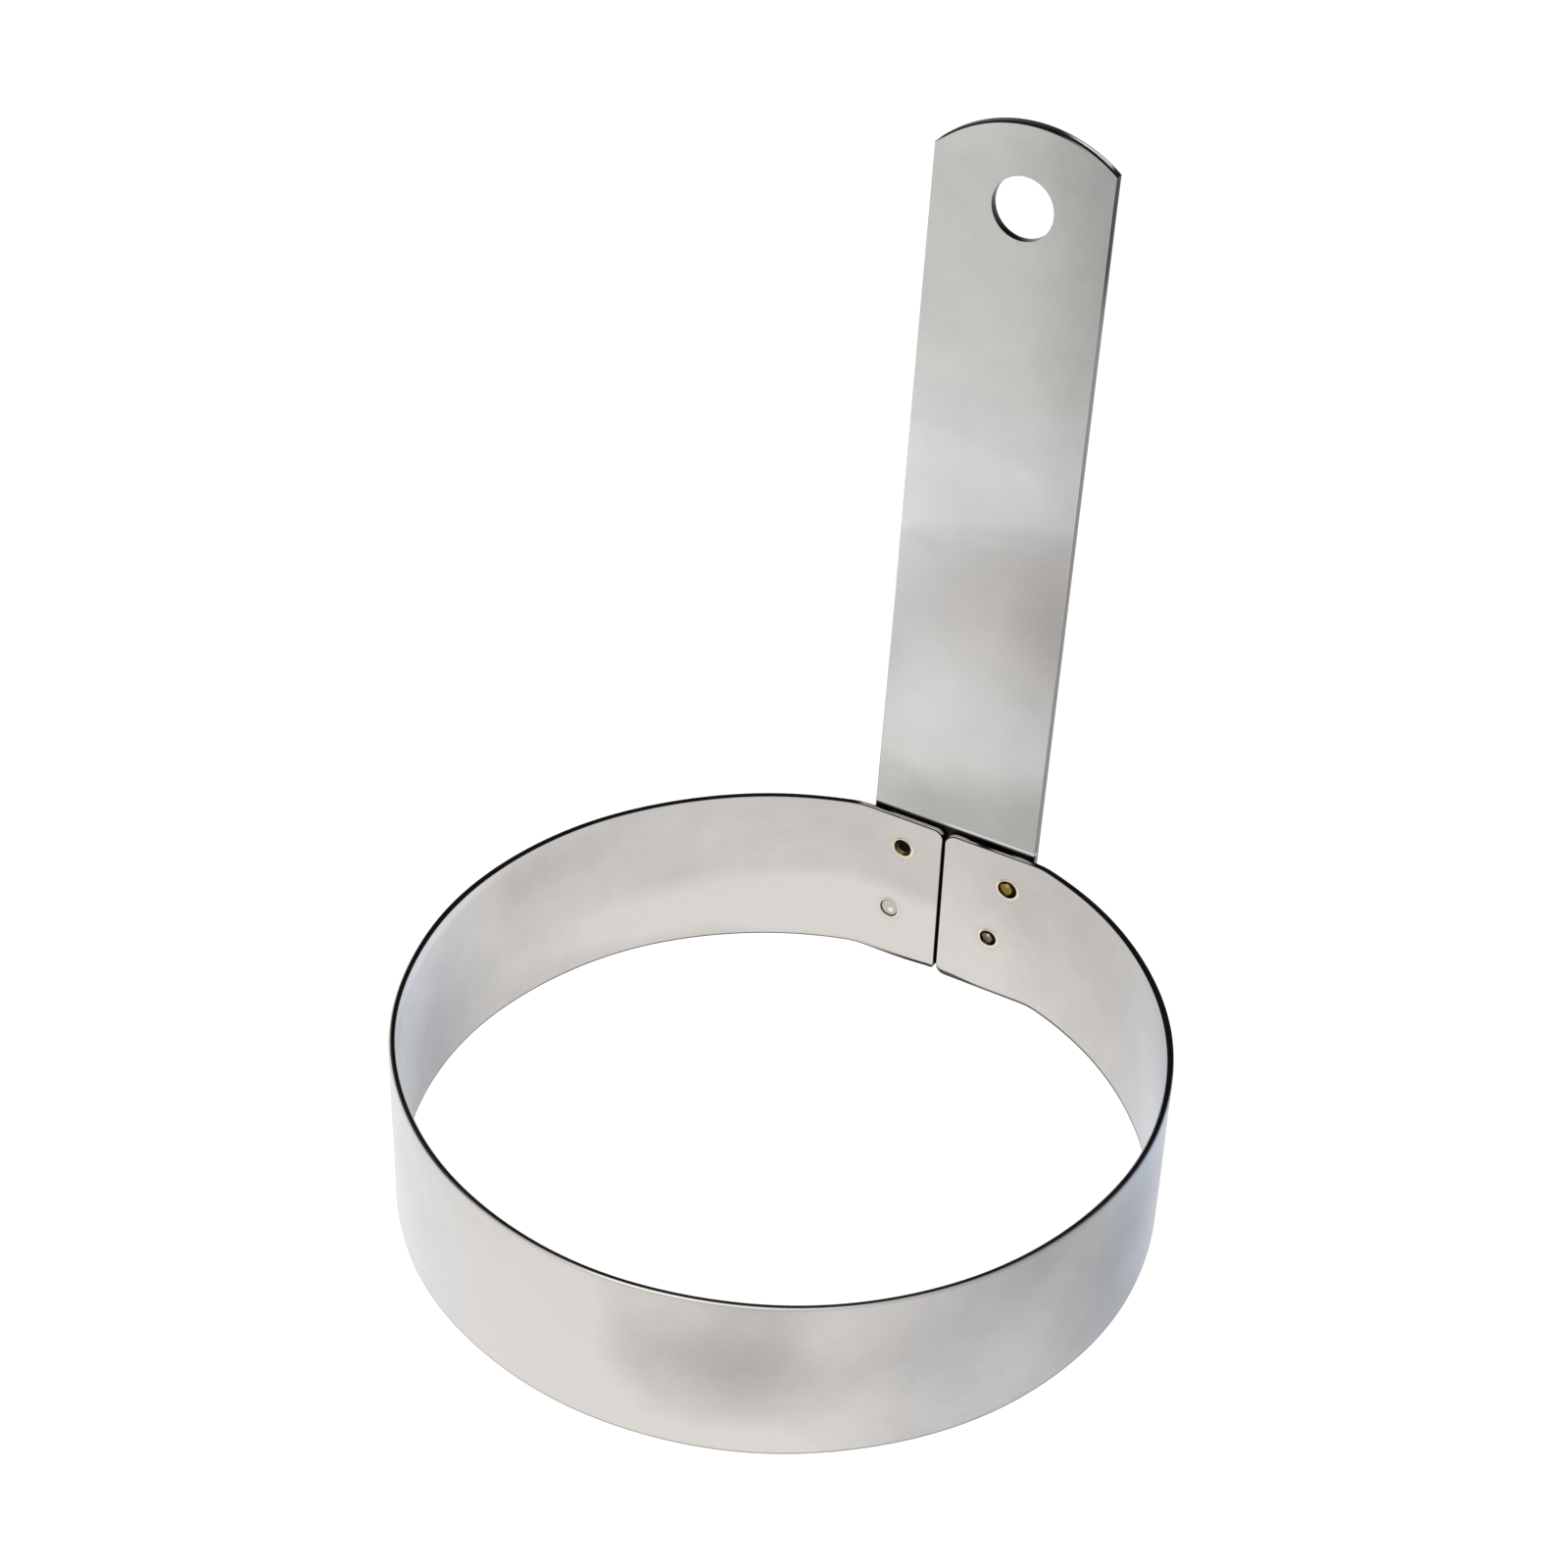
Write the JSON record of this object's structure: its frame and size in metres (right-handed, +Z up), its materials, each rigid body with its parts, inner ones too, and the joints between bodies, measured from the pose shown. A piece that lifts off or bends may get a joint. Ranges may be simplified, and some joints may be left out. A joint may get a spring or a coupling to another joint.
{
  "type": "egg ring",
  "caption": "Low round steel ring, rolled from a strip and butted at the back, with an upright strap handle spot welded over the joint and a hanging hole.",
  "frame": {"origin": "centre of the ring on the plane that it stands on", "axes": "+Z up along the ring's axis, +Y from the ring's centre towards the handle, +X to the right of someone who looks from the centre at the handle"},
  "size_m": [0.1034, 0.1086, 0.1333],
  "materials": {
    "band_steel": "satin, fine grain along the strip",
    "strap_steel": "satin, faint grain up the strap",
    "weld_metal": "straw to brown heat tint"
  },
  "bodies": {
    "root": {"ring_band": "band_steel", "handle": "strap_steel", "weld_upper_left": "weld_metal", "weld_lower_left": "weld_metal", "weld_upper_right": "weld_metal", "weld_lower_right": "weld_metal"}
  },
  "joints": []
}
